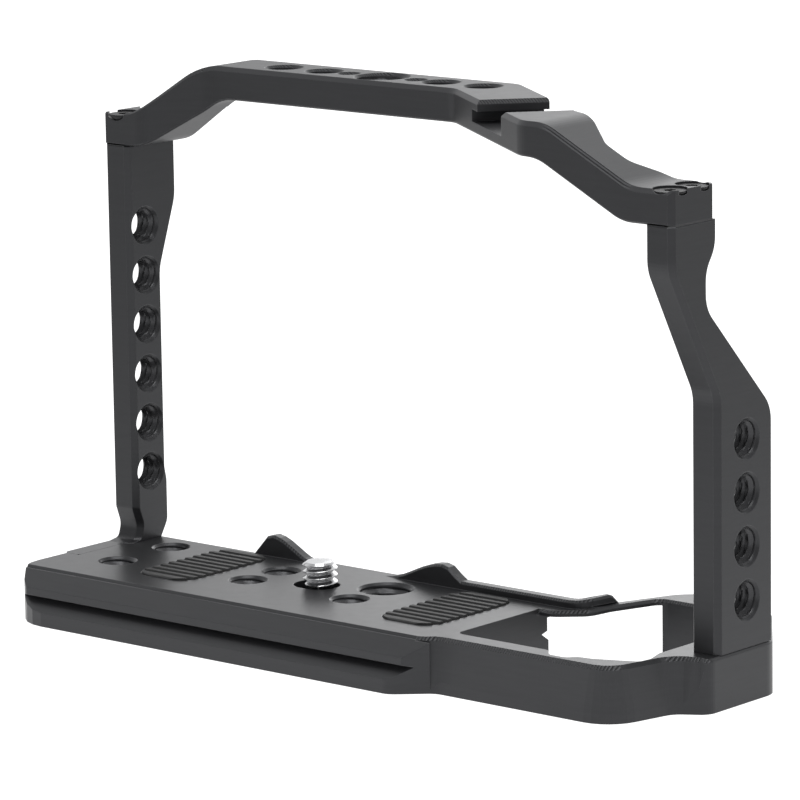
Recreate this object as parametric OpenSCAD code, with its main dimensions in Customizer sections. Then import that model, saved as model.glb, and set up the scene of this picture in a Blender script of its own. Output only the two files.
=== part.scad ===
// Camera cage for a mirrorless camera: a milled base plate with a dovetail rail, two arms
// and a raised top bar, held together by small countersunk screws. The axis of the camera
// screw is the Z axis, and z = 0 is the face that the camera stands on. +X is the grip side,
// +Y the lens side.

/* [Frame] */
// From the camera screw's axis to the inner face of the left arm
left_reach = 51; // [48:0.5:60]
// From the camera screw's axis to the inner face of the right arm
right_reach = 84; // [82:0.5:95]
// Height of the underside of the top bar at the arms
shoulder_h = 74.8; // [72:0.5:90]
// Rise of the middle of the top bar above its ends
crown_rise = 9.2; // [6:0.2:12]
// Thickness of the top bar
bar_t = 6; // [5.5:0.1:7]
// Chamfer along the top edges of the bar
bar_chamfer = 0.8; // [0.4:0.1:1.1]
// Small chamfer along its bottom edges
bar_low_chamfer = 0.3; // [0.2:0.05:0.5]

/* [Base plate] */
// Thickness of the base plate
plate_t = 9.5; // [9:0.1:11]
// Width of the dovetail flange
dovetail_w = 38; // [36:0.5:40]
// How far the middle of the dovetail lies behind the camera screw
dovetail_back = 6; // [5:0.1:7]
// How far the plate reaches past the left arm's inner face
plate_end_past = 4.5; // [4.2:0.1:5]
// From the camera screw's axis to the near wall beside the battery door
near_wall = 19.6; // [19:0.1:21]
// How far the plate reaches towards the lens at the grip
grip_reach = 36; // [34:0.2:38]
// Corner radius of the plate's near left corner
plate_corner_r = 9.5; // [5:0.5:10]
// Chamfer along the near wall's top edge
wall_chamfer = 0.5; // [0.3:0.05:0.6]
// Chamfer along the top edge of the dovetail's near side
rail_chamfer = 0.35; // [0.2:0.05:0.5]

/* [Battery door cut-out] */
// Left end of the cut-out, from the camera screw's axis
door_left = 43.1; // [42:0.1:45]
// Right end of the cut-out
door_right = 79.9; // [79:0.1:80.5]
// Near edge of the cut-out
door_near = 13.5; // [13:0.1:14]
// Thickness of the far rail over the battery door
thin_rail_t = 1.05; // [0.9:0.05:2]
// Width of the far rail where it is widest, at the grip
thin_rail_w = 7.9; // [7:0.1:9]
// Chamfer along the rail's inner top edge
thin_rail_chamfer = 0.5; // [0.2:0.05:0.6]

/* [Retaining lip] */
// From the camera screw's axis to the lip's inner face
lip_in = 12.4; // [12.2:0.1:13]
// Thickness of the lip
lip_t = 2.5; // [2:0.1:3]
// Height of the two bumps over the camera's seat
lip_bump_h = 4; // [2:0.1:5]
// Height of the low stretch of the lip
lip_low_h = 1.45; // [0.8:0.05:1.8]

/* [Arms] */
// Thickness of the arms
arm_t = 5.4; // [5:0.1:6]
// Chamfer along the near edge of each arm that a hand meets
arm_chamfer = 1; // [0.4:0.1:1.2]
// Small chamfer along the arms' other edges
arm_edge = 0.25; // [0.15:0.05:0.4]
// Height of the lowest accessory hole of the left arm
left_holes_z = 13; // [12:0.2:15]
// Height of the lowest accessory hole of the right arm
right_holes_z = 8.3; // [8:0.1:10]
// Spacing of the arms' accessory holes
hole_pitch = 9.3; // [8.6:0.1:9.5]
// Number of accessory holes in the left arm
left_hole_count = 6; // [2:1:6]
// Number of accessory holes in the right arm
right_hole_count = 4; // [2:1:4]

/* [Threads and screws] */
// Outer diameter of the quarter-inch thread
quarter_d = 6.35; // [6.2:0.05:6.5]
// Outer diameter of the three-eighths thread
three_eighths_d = 9.5; // [9:0.1:9.6]
// Diameter of the locating pin holes beside it
pin_hole_d = 3.5; // [3:0.1:4]
// Chamfer at the mouth of a tapped hole
mouth_chamfer = 0.45; // [0.2:0.05:0.6]
// Diameter of the frame screws
frame_screw_d = 3; // [2.5:0.1:3]
// Diameter of their countersunk heads
frame_head_d = 5.5; // [5:0.1:5.6]
// Length of the frame screws, head included
frame_screw_l = 13; // [11:0.5:14]
// Length of the shorter screws in the foot of the left arm
foot_screw_l = 8; // [6:0.5:8]
// How far the camera screw stands above the seat
screw_stand = 4.5; // [3.5:0.1:5.5]
// Diameter of the camera screw's head
screw_head_d = 12.4; // [11:0.1:12.6]

/* [Pads] */
// Width of an anti-slip pad along the cage
pad_w = 12.7; // [10:0.1:13]
// Depth of an anti-slip pad from near to far
pad_d = 24.4; // [20:0.1:25]
// Number of grooves in a pad
pad_groove_count = 10; // [4:1:11]

/* [Hidden] */

$fn = 48;
// Overrun of every cut past the face it starts from
over = 0.5;
// Steps in a rounded corner of an outline
corner_steps = 6;
// Sections of a loft that lie closer than this are one
merge = 0.05;

// Colours
black_anodised = [0.16, 0.16, 0.17];
rubber_black = [0.08, 0.08, 0.08];
bright_steel = [0.75, 0.75, 0.76];
dark_steel = [0.25, 0.25, 0.26];

// Base plate, levels below the seat
band_face_drop = 3;
band_drop = 4.4;
neck_drop = 4.8;
flange_drop = 6.9;
band_in = 1.5;
neck_in = 3.1;
band_top_in = 5.5;
flange_near = -dovetail_back - dovetail_w / 2;
flange_far = -dovetail_back + dovetail_w / 2;

// Base plate, places in plan
plate_left = left_reach + plate_end_past;
rail_end_x = 37.2;
rail_end_run = 6.2;
rail_end_r = 3.5;
ledge_t = 2;
far_wall_in = 1.2;
end_step = 0.3;
plate_right = right_reach + arm_t + end_step;
bulge_in = 8.4;
bulge_x = plate_right - bulge_in;
bulge_r = 7;
waist_in = 5.2;
waist_y = -6.2;
waist_r = 4;
right_corner_y = -3;
right_corner_r = 3;
right_far_y = 15;
right_far_r = 5;
grip_corner_x = 77.8;
grip_corner_in = 5;
grip_corner_run = 5;
grip_corner_r = 4;
far_step_x = 57.1;
far_step_r = 8;
rail_waist_x = 50.6;
rail_waist_y = 20.5;
rail_waist_r = 3;
lip_corner_x = 48.4;
lip_corner_r = 7;
lip_start_x = -27;
far_left_r = 3;

// Slope of the near wall, from its foot to its top edge
wall_back = 2.1;
wall_drop = 9;
slope_start_x = 39.5;
slope_start_run = 3.5;
slope_end_run = 2.5;
slope_pitch = 1.3;
chamfer_end_x = 66;

// Battery door cut-out
door_r = 1.5;
door_far = 9;
door_cut_y = 6;
door_cut_run = 4.4;
door_inner_r = 2.5;
block_x = 56.1;
recess_x = 63.5;
recess_run = 2;
recess_w = 3.5;
recess_deep = 2.4;
recess_out_run = 1.5;
recess_out = 0.8;
bevel_x = 73.2;
bevel_out = 0.4;
bevel_mid_x = 77.7;
bevel_mid_in = 1.5;
knee_x = 80.8;
knee_in = 2.9;
knee_r = 1.2;
side_x = 81.2;
side_in = 5.5;
door_soft_r = 2;
door_side_y = -4;
door_side_r = 3;
rail_start_x = 46;
rail_start_r = 5;
rail_bend_x = 51.2;
rail_bend_y = 13.4;
rail_bend_r = 4;
rail_side_x = 52;
rail_side_y = 18.5;
rail_side_r = 8;
rail_corner_x = 55.5;

// Retaining lip
lip_end_y = 21.3;
lip_end_x = 52.3;
lip_bend_x = 50.2;
lip_bend_r = 8;
lip_tail_t = 1.2;
lip_edge = 0.4;
bump_left_x = -23;
bump_left_rise = 5;
bump_left_fall = 11;
bump_right_x = 18.2;
bump_right_rise = 14;
bump_right_fall = 6.5;
lip_low_x = 23;
lip_end_run = 2.6;
lip_tail_h = 1.95;
lip_pitch = 3;

// Arms, profiles seen along X
left_near_y = 6.1;
left_far_y = 14.3;
left_top_far_y = 18.8;
left_bulge = 0.5;
left_flare_drop = 23.8;
left_flare_z = shoulder_h - left_flare_drop;
left_flare_run = 13;
left_flare_r = 9;
left_foot_z = 12;
notch_z = 6.4;
notch_in = 1.2;
notch_low_z = 3;
foot_near_y = -8;
foot_far_y = 13;
foot_t = 3.9;
foot_drop = 7.6;
foot_gap = 0.05;
fillet_run = 3.2;
right_near_y = 0;
right_far_y_arm = 15.2;
right_top_near_y = -12.3;
right_top_far_y = -0.3;
right_bend_drop = 7.6;
right_bend_top_z = shoulder_h - right_bend_drop;
right_bend_low_z = 44.6;
right_bend_r = 7;
right_notch_y = -2.9;
right_notch_top_drop = 4.8;
right_notch_drop = 8.4;
right_notch_low_drop = 14.8;
right_notch_top_z = shoulder_h - right_notch_top_drop;
right_notch_z = shoulder_h - right_notch_drop;
right_notch_low_z = shoulder_h - right_notch_low_drop;
right_swell_z = 40.8;
right_swell_r = 6;

// Top bar, profile seen from the back and outline in plan
left_rise_x = 2;
left_rise_run = 10.5;
left_low_run = 13.3;
right_rise_x = 3.6;
right_rise_run = 18.2;
rise_lag = 1.6;
bend_r = 9;
bar_w = 12;
crown_near_y = 13.2;
crown_bend_x = -37;
crown_bend_run = 10.4;
step_run = 0.3;
step_under = 4.5;
step_r = 1.6;
corner_share = 0.3;
crown_end_x = 21.6;
diag_end_x = 57.2;
plan_bend_r = 5;
diag_far_start_x = 27;
diag_far_end_x = 57.4;
diag_far_end_y = 2.9;
scoop_start_x = 64;
scoop_x = 69.6;
scoop_w = 5;
scoop_depth = 4.1;
scoop_end_x = 79;
scoop_r = 3;

// Accessory slot of the top bar
slot_x = 36;
slot_y = 4.9;
slot_gap = 15.8;
slot_turn = -41;
slot_undercut = 3.7;
slot_floor = 4.15;
slot_lip_t = 1.95;
slot_edge = 0.7;

// Holes of the top bar
pin_offset = 7.9;
inner_offset = 13.8;
outer_offset = 23.5;

// Holes of the base plate
end_pair_in = 7.7;
end_pair_x = end_pair_in - left_reach;
end_pair_half = 7.2;
left_pair_x = -13.4;
left_pair_half = 4.5;
tripod_pair_x = 11.3;
tripod_near_y = -4.9;
tripod_far_y = 5;

// Camera screw and its slot
slot_travel = 1.6;
slot_clear = 0.45;
web_t = 5;
head_clear = 0.4;
head_t = 3.2;
head_edge = 0.4;
shank_d = 4.9;
tip_chamfer = 0.6;
washer_t = 0.8;
washer_clear = 0.3;
coin_slot_w = 1.6;
coin_slot_deep = 1.2;
hex_key_d = 5;
hex_deep = 2.2;
ring_wire = 0.9;
ring_clear = 0.05;
ring_drop = 3.2;

// Frame screws
head_sink = 0.35;
head_cone = 1.25;
head_rim = 0.3;
key_d = 2.3;
key_deep = 1.1;
bore_clear = 0.1;
head_room = 0.15;
tap_extra = 1;
left_top_margin = 2.25;
right_top_margin = 3;
foot_near_inset = 4.6;
foot_far_inset = 4.2;
foot_screw_drop = 3.8;
foot_screw_near_y = 4;
foot_screw_far_y = 11.2;

// Pads
pad_t = 1.2;
pad_proud = 0.35;
pad_r = 4;
pad_fit = 0.1;
pad_left_x = -27.7;
pad_right_x = 30.2;
pad_y = -0.8;
groove_w = 1.1;
groove_deep = 0.5;
pad_margin = 1.3;

// A smooth run from 0 to 1
function ease(s) = s <= 0 ? 0 : s >= 1 ? 1 : (1 - cos(180 * s)) / 2;

function unit(v) = v / norm(v);

// Unit vector to the right of a path at its point i
function outward(path, i) =
    let (t = unit(path[min(len(path) - 1, i + 1)] - path[max(0, i - 1)])) [t[1], -t[0]];

// Points of a rounded corner at p, whose neighbours are a and b
function corner(a, p, b, r) =
    let (u = unit(a - p), w = unit(b - p), half = acos(max(-1, min(1, u * w))) / 2)
    r <= 0 || half > 89.5 ? [p] :
    let (
        reach = min(r / tan(half), norm(a - p) * 0.49, norm(b - p) * 0.49),
        radius = reach * tan(half),
        centre = p + unit(u + w) * (radius / sin(half)),
        start = p + u * reach - centre,
        finish = p + w * reach - centre,
        from_a = atan2(start[1], start[0]),
        turn = ((atan2(finish[1], finish[0]) - from_a + 540) % 360) - 180
    )
    [for (i = [0 : corner_steps]) centre + radius * [cos(from_a + turn * i / corner_steps),
                                                     sin(from_a + turn * i / corner_steps)]];

// A closed outline from corners given as [x, y, radius]
function rounded(pts) = let (n = len(pts)) [for (i = [0 : n - 1])
    each corner(flat(pts[(i + n - 1) % n]), flat(pts[i]), flat(pts[(i + 1) % n]), pts[i][2])];

// An open path from corners given as [x, y, radius]
function open_path(pts) = let (n = len(pts)) [
    flat(pts[0]),
    for (i = [1 : n - 2]) each corner(flat(pts[i - 1]), flat(pts[i]), flat(pts[i + 1]), pts[i][2]),
    flat(pts[n - 1])];

function flat(p) = [p[0], p[1]];

// The values of a list in rising order, without near copies
function sorted(v) = len(v) < 2 ? v :
    let (
        pivot = v[floor(len(v) / 2)],
        low = [for (a = v) if (a < pivot - merge) a],
        high = [for (a = v) if (a > pivot + merge) a]
    )
    concat(sorted(low), [pivot], sorted(high));

// A solid through rings of points, each counter-clockwise about the way they follow each other
module loft(rings) {
    n = len(rings[0]);
    points = [for (ring = rings) each ring];
    sides = [for (i = [0 : len(rings) - 2], j = [0 : n - 1])
        let (k = (j + 1) % n)
        each [[i * n + j, (i + 1) * n + k, i * n + k], [i * n + j, (i + 1) * n + j, (i + 1) * n + k]]];
    first = [for (j = [1 : n - 2]) [0, j, j + 1]];
    last = [for (j = [1 : n - 2]) let (b = (len(rings) - 1) * n) [b, b + j + 1, b + j]];
    polyhedron(points, concat(sides, first, last));
}

// Cuts a chamfer of width c along the edge of an extruded outline at height z;
// the path runs with the solid on its left
module edge_chamfer(path, c, z) {
    rings = [for (i = [0 : len(path) - 1])
        let (out = outward(path, i), p = path[i])
        [concat(p + out * over, z + over), concat(p + out * over, z - c - over),
         concat(p - out * (c + over), z + over)]];
    loft(rings);
}

// A hole for a quarter-inch or larger thread along Z, from z = 0 down, with chamfered mouths
module tapped_hole(d, l) {
    translate([0, 0, -l - over]) cylinder(d = d, h = l + 2 * over);
    translate([0, 0, -mouth_chamfer]) cylinder(d1 = d, d2 = d + 2 * (mouth_chamfer + over),
        h = mouth_chamfer + over);
    translate([0, 0, -l - over]) cylinder(d1 = d + 2 * (mouth_chamfer + over), d2 = d,
        h = mouth_chamfer + over);
}

// A frame screw of length l along Z with its head's top face at z = 0
module frame_screw(l) {
    color(dark_steel) difference() {
        union() {
            translate([0, 0, -head_rim]) cylinder(d = frame_head_d, h = head_rim);
            translate([0, 0, -head_rim - head_cone])
                cylinder(d1 = frame_screw_d, d2 = frame_head_d, h = head_cone);
            translate([0, 0, -l]) cylinder(d = frame_screw_d, h = l);
        }
        translate([0, 0, -key_deep]) cylinder(d = key_d, h = key_deep + over, $fn = 6);
    }
}

// The room that a frame screw needs: its head's sink, its clearance hole through the
// outer piece and its tapped hole in the inner one
module frame_screw_room(through) {
    room_d = frame_head_d + 2 * head_room;
    translate([0, 0, -head_rim - head_room]) cylinder(d = room_d, h = head_sink + head_rim + head_room + over);
    translate([0, 0, -head_rim - head_cone - head_room])
        cylinder(d1 = frame_screw_d + 2 * bore_clear, d2 = room_d, h = head_cone);
    translate([0, 0, -through]) cylinder(d = frame_screw_d + 2 * bore_clear, h = through);
}

module frame_screw_tap(l) {
    translate([0, 0, -l - tap_extra]) cylinder(d = frame_screw_d + 2 * bore_clear, h = l + tap_extra);
}

// Places a child along Z at each frame screw of one joint
left_top_x = -left_reach - arm_t / 2;
right_top_x = right_reach + arm_t / 2;
shoulder_top = shoulder_h + bar_t;
crown_top = shoulder_top + crown_rise;
left_top_ys = [left_near_y + left_top_margin, left_top_far_y - left_top_margin];
right_top_ys = [right_top_near_y + right_top_margin, right_top_far_y - right_top_margin];
left_foot_ys = [foot_near_y + foot_near_inset, foot_far_y - foot_far_inset];
right_foot_ys = [foot_screw_near_y, foot_screw_far_y];

module at_left_top(i) {
    translate([left_top_x, left_top_ys[i], shoulder_top - head_sink]) children();
}

module at_right_top(i) {
    translate([right_top_x, right_top_ys[i], shoulder_top - head_sink]) children();
}

module at_left_foot(i) {
    translate([-left_reach - arm_t + head_sink, left_foot_ys[i], -foot_screw_drop])
        rotate([0, -90, 0]) children();
}

module at_right_foot(i) {
    translate([right_top_x, right_foot_ys[i], head_sink - plate_t]) mirror([0, 0, 1]) children();
}

// Plan outline of the whole plate, from its near left corner round to the right
near_path = open_path([
    [-plate_left, dovetail_back, 0],
    [-plate_left, flange_near, plate_corner_r],
    [rail_end_x, flange_near, rail_end_r],
    [rail_end_x + rail_end_run, -near_wall, rail_end_r],
    [bulge_x, -near_wall, bulge_r],
    [plate_right - waist_in, waist_y, waist_r],
    [plate_right, right_corner_y, right_corner_r],
    [plate_right, dovetail_back, 0]]);

far_path = open_path([
    [plate_right, dovetail_back, 0],
    [plate_right, right_far_y, right_far_r],
    [grip_corner_x, grip_reach - grip_corner_in, grip_corner_r],
    [grip_corner_x - grip_corner_run, grip_reach, grip_corner_r],
    [far_step_x, grip_reach, far_step_r],
    [rail_waist_x, rail_waist_y, rail_waist_r],
    [lip_corner_x, lip_in + lip_t, lip_corner_r],
    [lip_start_x, lip_in + lip_t, 0],
    [lip_start_x, flange_far, 0],
    [-plate_left, flange_far, far_left_r],
    [-plate_left, dovetail_back, 0]]);

module plate_outline() {
    polygon(concat([for (i = [0 : len(near_path) - 2]) near_path[i]],
        [for (i = [0 : len(far_path) - 2]) far_path[i]]));
}

// The dovetail rail seen along X, from the plate's left end to the battery door
module rail_profile() {
    mid = -dovetail_back;
    half = dovetail_w / 2;
    polygon([
        [mid - half, -plate_t],
        [mid - half, -flange_drop],
        [mid - half + neck_in, -neck_drop],
        [mid - half + band_in, -band_drop],
        [mid - half + band_in, -band_face_drop],
        [mid - half + band_top_in, 0],
        [lip_in + lip_t, 0],
        [lip_in + lip_t, -ledge_t],
        [mid + half - band_in, -ledge_t],
        [mid + half - band_in, -band_drop],
        [mid + half - neck_in, -neck_drop],
        [mid + half, -flange_drop],
        [mid + half, -plate_t]]);
}

// Far side of the opening that lets the camera's battery door swing down, from left to right,
// given as [x, y, radius]
door_far_points = [
    [rail_start_x, door_far, rail_start_r],
    [rail_bend_x, rail_bend_y, rail_bend_r],
    [rail_side_x, rail_side_y, rail_side_r],
    [rail_corner_x, grip_reach - thin_rail_w, door_inner_r],
    [door_right - door_cut_run, grip_reach - thin_rail_w, door_inner_r],
    [door_right, grip_reach - thin_rail_w - door_cut_y, door_inner_r]];

// Its near side, given as [x, distance beyond the straight rim, radius]
door_near_points = [
    [recess_x, 0, door_r],
    [recess_x + recess_run, recess_deep, door_r],
    [recess_x + recess_run + recess_w, recess_deep, door_r],
    [recess_x + recess_run + recess_w + recess_out_run, recess_out, door_r],
    [bevel_x, bevel_out, door_soft_r],
    [bevel_mid_x, -bevel_mid_in, door_soft_r],
    [knee_x, -knee_in, knee_r],
    [side_x, -side_in, door_soft_r]];

module door_outline() {
    last = len(door_far_points) - 1;
    polygon(rounded(concat(
        [[door_left, -door_near, door_r]],
        [for (p = door_near_points) [p[0], -door_near - p[1], p[2]]],
        [[door_right, door_side_y, door_side_r]],
        [for (i = [0 : last]) door_far_points[last - i]],
        [[door_left, door_far, door_r / 4]])));
}

// Slope of the near wall: the share of its full depth that it has at x
function slope_share(x) = ease((x - slope_start_x) / slope_start_run) * ease((plate_right - x) / slope_end_run);

slope_path = concat([for (i = [0 : 4]) [slope_start_x + i * slope_pitch, -near_wall - over / 5]],
    [for (p = near_path) if (p[0] > slope_start_x + 5 * slope_pitch && p[1] < 0) p],
    [[plate_right, right_corner_y / 4]]);

module near_slope() {
    rings = [for (i = [0 : len(slope_path) - 1])
        let (
            p = slope_path[i],
            out = outward(slope_path, i),
            share = slope_share(p[0]),
            back = wall_back * share,
            drop = band_face_drop + (wall_drop - band_face_drop) * share
        )
        [concat(p + out * over, over), concat(p + out * over, -drop - over * share),
         concat(p - out * back * (1 + over / drop), over)]];
    loft(rings);
}

// Top edge of the plate from the end of the rail round its right end
top_edge = concat(
    [for (i = [0 : len(slope_path) - 1])
        slope_path[i] - outward(slope_path, i) * wall_back * slope_share(slope_path[i][0])],
    [for (p = far_path) if (p[0] > grip_corner_x - grip_corner_run) p],
    [[chamfer_end_x, grip_reach]]);

// Height of the retaining lip over the seat, at place x along it
function bump(x, top_x, rise, fall) =
    x < top_x ? ease((x - top_x + rise) / rise) : ease((top_x + fall - x) / fall);

function lip_low(x) = x < lip_low_x - over ? 0 :
    lip_low_h + (lip_tail_h - lip_low_h) * ease((x - lip_corner_x) / (lip_end_x - lip_corner_x));

function lip_height(x, left_over) = ease(left_over / lip_end_run) * max(
    lip_bump_h * bump(x, bump_left_x, bump_left_rise, bump_left_fall),
    lip_bump_h * bump(x, bump_right_x, bump_right_rise, bump_right_fall),
    lip_low(x));

module retaining_lip() {
    straight = [for (x = [lip_start_x : lip_pitch / 2 : lip_corner_x - lip_corner_r]) [x, lip_in]];
    bend = open_path([
        [lip_corner_x - lip_corner_r + over, lip_in, 0],
        [lip_bend_x, lip_in, lip_bend_r],
        [lip_end_x, lip_end_y, 0]]);
    tail = bend[len(bend) - 1];
    before = bend[len(bend) - 2];
    finish = [for (s = [lip_end_run : -lip_end_run / 4 : over])
        tail + (before - tail) * (s / norm(before - tail))];
    path = concat(straight, [for (i = [0 : len(bend) - 2]) bend[i]], finish);
    rings = [for (i = [0 : len(path) - 1])
        let (
            p = path[i],
            away = -outward(path, i),
            share = max(0, p[1] - lip_in) / (lip_end_y - lip_in),
            out = away * (lip_t + (lip_tail_t - lip_t) * share),
            rim = away * lip_edge,
            h = max(lip_height(p[0], norm(p - tail)), -rail_chamfer / 2),
            low = -thin_rail_t / 2,
            side = max(h - lip_edge, low / 2)
        )
        [concat(p, low), concat(p + out, low), concat(p + out, side), concat(p + out - rim, h),
         concat(p + rim, h), concat(p, side)]];
    loft(rings);
}

// The obround that the camera screw slides in
module screw_slot(d, z, h) {
    for (x = [-slot_travel, 0]) translate([x, 0, z]) cylinder(d = d, h = h);
    translate([-slot_travel, -d / 2, z]) cube([slot_travel, d, h]);
}

module pad_block(x, grow, z, h) {
    half_w = pad_w / 2 + grow;
    half_d = pad_d / 2 + grow;
    translate([x, pad_y, z]) linear_extrude(h) polygon(rounded([
        [-half_w, -half_d, pad_r], [half_w, -half_d, pad_r], [half_w, half_d, pad_r], [-half_w, half_d, pad_r]]));
}

module base_plate() {
    color(black_anodised) difference() {
        union() {
            intersection() {
                translate([0, 0, -plate_t]) linear_extrude(plate_t) plate_outline();
                union() {
                    rotate([90, 0, 90]) translate([0, 0, -plate_left - over])
                        linear_extrude(plate_left + door_left + 2 * over) rail_profile();
                    translate([rail_end_x + rail_end_run / 4, -near_wall, -plate_t])
                        cube([door_left - rail_end_x - rail_end_run / 4, near_wall, plate_t]);
                    translate([door_left, -near_wall - over, -plate_t])
                        cube([plate_right - door_left + over, near_wall + grip_reach + 2 * over, plate_t]);
                }
            }
            retaining_lip();
        }
        translate([0, 0, -plate_t - over]) linear_extrude(plate_t + 2 * over) door_outline();
        // Under the thin far rail
        translate([door_left, door_far - over, -plate_t - over])
            cube([block_x - door_left, grip_reach, plate_t - thin_rail_t + over]);
        // Far end of the dovetail, set in beside the battery door
        translate([door_left - rail_end_run, flange_far - far_wall_in, -plate_t - over])
            cube([rail_end_run + over, far_wall_in + lip_t + over, plate_t - ledge_t + over]);
        near_slope();
        edge_chamfer(top_edge, wall_chamfer, 0);
        edge_chamfer([[-plate_left - over, flange_near + band_top_in],
            [slope_start_x + over, flange_near + band_top_in]], rail_chamfer, 0);
        // Inner edge of the far rail
        edge_chamfer(open_path(concat([[door_left - over / 2, door_far, 0]],
            [for (p = door_far_points) if (p[0] <= rail_corner_x) p],
            [[chamfer_end_x, grip_reach - thin_rail_w, 0]])), thin_rail_chamfer, 0);
        left_foot_pocket();
        for (x = [pad_left_x, pad_right_x])
            pad_block(x, pad_fit, pad_proud - pad_t, pad_t + over);
        // Slot of the camera screw and the pocket of its head
        screw_slot(quarter_d + 2 * slot_clear, -plate_t - over, plate_t + 2 * over);
        screw_slot(screw_head_d + 2 * head_clear, -plate_t - over, plate_t - web_t + over);
        // Tapped holes of the seat
        for (side = [-1, 1]) {
            translate([end_pair_x, side * end_pair_half, 0]) tapped_hole(quarter_d, plate_t);
            translate([left_pair_x, side * left_pair_half, 0]) tapped_hole(quarter_d, plate_t);
        }
        translate([tripod_pair_x, tripod_near_y, 0]) tapped_hole(quarter_d, plate_t);
        translate([tripod_pair_x, tripod_far_y, 0]) tapped_hole(three_eighths_d, plate_t);
        for (i = [0, 1]) {
            at_left_foot(i) frame_screw_tap(foot_screw_l);
            at_right_foot(i) frame_screw_room(plate_t);
        }
    }
}

// The pocket in the plate's left end that takes the foot of the left arm
module left_foot_pocket() {
    x = -left_reach - arm_t;
    translate([x - over, foot_near_y - foot_gap, -foot_drop - foot_gap])
        cube([foot_t + over + foot_gap, foot_far_y - foot_near_y + over + foot_gap, foot_drop + foot_gap + over]);
}

// An arm from its edges' paths, given as [height, y], between the x of its two faces,
// with the chamfers of its near edges at the two faces
module arm_bar(near, far, x0, x1, c0, c1) {
    heights = sorted(concat([for (p = near) p[0]], [for (p = far) p[0]]));
    e = arm_edge;
    rings = [for (z = heights)
        let (n = lookup(z, near), f = lookup(z, far))
        [[x0, n + c0, z], [x0 + c0, n, z], [x1 - c1, n, z], [x1, n + c1, z],
         [x1, f - e, z], [x1 - e, f, z], [x0 + e, f, z], [x0, f - e, z]]];
    loft(rings);
}

left_near = open_path([
    [0, left_near_y + notch_in - fillet_run, 0],
    [fillet_run / 8, left_near_y + notch_in - fillet_run / 4, notch_in],
    [notch_low_z, left_near_y + notch_in, fillet_run],
    [notch_z, left_near_y, notch_in],
    [shoulder_h, left_near_y, 0]]);

left_far = open_path([
    [0, foot_far_y, 0],
    [notch_low_z, left_far_y + left_bulge, fillet_run],
    [left_foot_z - notch_in, left_far_y + left_bulge, fillet_run],
    [left_foot_z + notch_in, left_far_y, fillet_run],
    [left_flare_z, left_far_y, left_flare_r],
    [left_flare_z + left_flare_run, left_top_far_y, left_flare_r],
    [shoulder_h, left_top_far_y, 0]]);

module left_arm() {
    x0 = -left_reach - arm_t;
    color(black_anodised) difference() {
        union() {
            arm_bar(left_near, left_far, x0, -left_reach, arm_edge, arm_chamfer);
            translate([x0, foot_near_y, -foot_drop]) linear_extrude(foot_drop) polygon(rounded([
                [0, 0, foot_t / 3], [foot_t, 0, foot_t / 4], [foot_t, foot_far_y - foot_near_y, 0],
                [0, foot_far_y - foot_near_y, 0]]));
        }
        for (i = [0 : left_hole_count - 1])
            translate([-left_reach, (left_near_y + left_far_y) / 2 + left_bulge / 3, left_holes_z + i * hole_pitch])
                rotate([0, 90, 0]) tapped_hole(quarter_d, arm_t);
        for (i = [0, 1]) {
            at_left_foot(i) frame_screw_room(foot_t + over);
            at_left_top(i) frame_screw_tap(frame_screw_l);
        }
    }
}

right_near = open_path([
    [0, right_near_y, 0],
    [right_bend_low_z, right_near_y, right_bend_r],
    [right_bend_top_z, right_top_near_y, right_bend_r],
    [shoulder_h, right_top_near_y, 0]]);

right_far = open_path([
    [0, right_far_y_arm, 0],
    [right_swell_z, right_far_y_arm, right_swell_r],
    [right_notch_low_z, right_notch_y, right_swell_r],
    [right_notch_z, right_notch_y, right_swell_r],
    [right_notch_top_z, right_top_far_y, right_swell_r],
    [shoulder_h, right_top_far_y, 0]]);

module right_arm() {
    x1 = right_reach + arm_t;
    color(black_anodised) difference() {
        arm_bar(right_near, right_far, right_reach, x1, arm_edge, arm_chamfer);
        for (i = [0 : right_hole_count - 1])
            translate([x1, (right_near_y + right_far_y_arm) / 2 + left_bulge, right_holes_z + i * hole_pitch])
                rotate([0, 90, 0]) tapped_hole(quarter_d, arm_t);
        for (i = [0, 1]) {
            at_right_top(i) frame_screw_tap(frame_screw_l);
            at_right_foot(i) frame_screw_tap(frame_screw_l);
        }
    }
}

// Paths of the top bar, given as [x, value]: its upper face, its lower face and its two sides
bar_x0 = -left_reach - arm_t;
bar_x1 = right_reach + arm_t;
rise_x0 = -left_reach + left_rise_x;
fall_x1 = right_reach - right_rise_x;

bar_top = open_path([
    [bar_x0, shoulder_top, 0],
    [rise_x0, shoulder_top, bend_r],
    [rise_x0 + left_rise_run, crown_top, bend_r],
    [fall_x1 - right_rise_run, crown_top, bend_r],
    [fall_x1, shoulder_top, bend_r],
    [bar_x1, shoulder_top, 0]]);

bar_low = open_path([
    [bar_x0, shoulder_h, 0],
    [rise_x0 + rise_lag, shoulder_h, bend_r],
    [rise_x0 + rise_lag + left_low_run, shoulder_h + crown_rise, bend_r],
    [fall_x1 - rise_lag - right_rise_run, shoulder_h + crown_rise, bend_r],
    [fall_x1 - rise_lag, shoulder_h, bend_r],
    [bar_x1, shoulder_h, 0]]);

bar_near = open_path([
    [bar_x0, left_near_y, 0],
    [crown_bend_x - crown_bend_run, left_near_y, plan_bend_r],
    [crown_bend_x, crown_near_y, plan_bend_r],
    [crown_end_x, crown_near_y, plan_bend_r],
    [diag_end_x, right_top_near_y, plan_bend_r],
    [bar_x1, right_top_near_y, 0]]);

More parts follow.
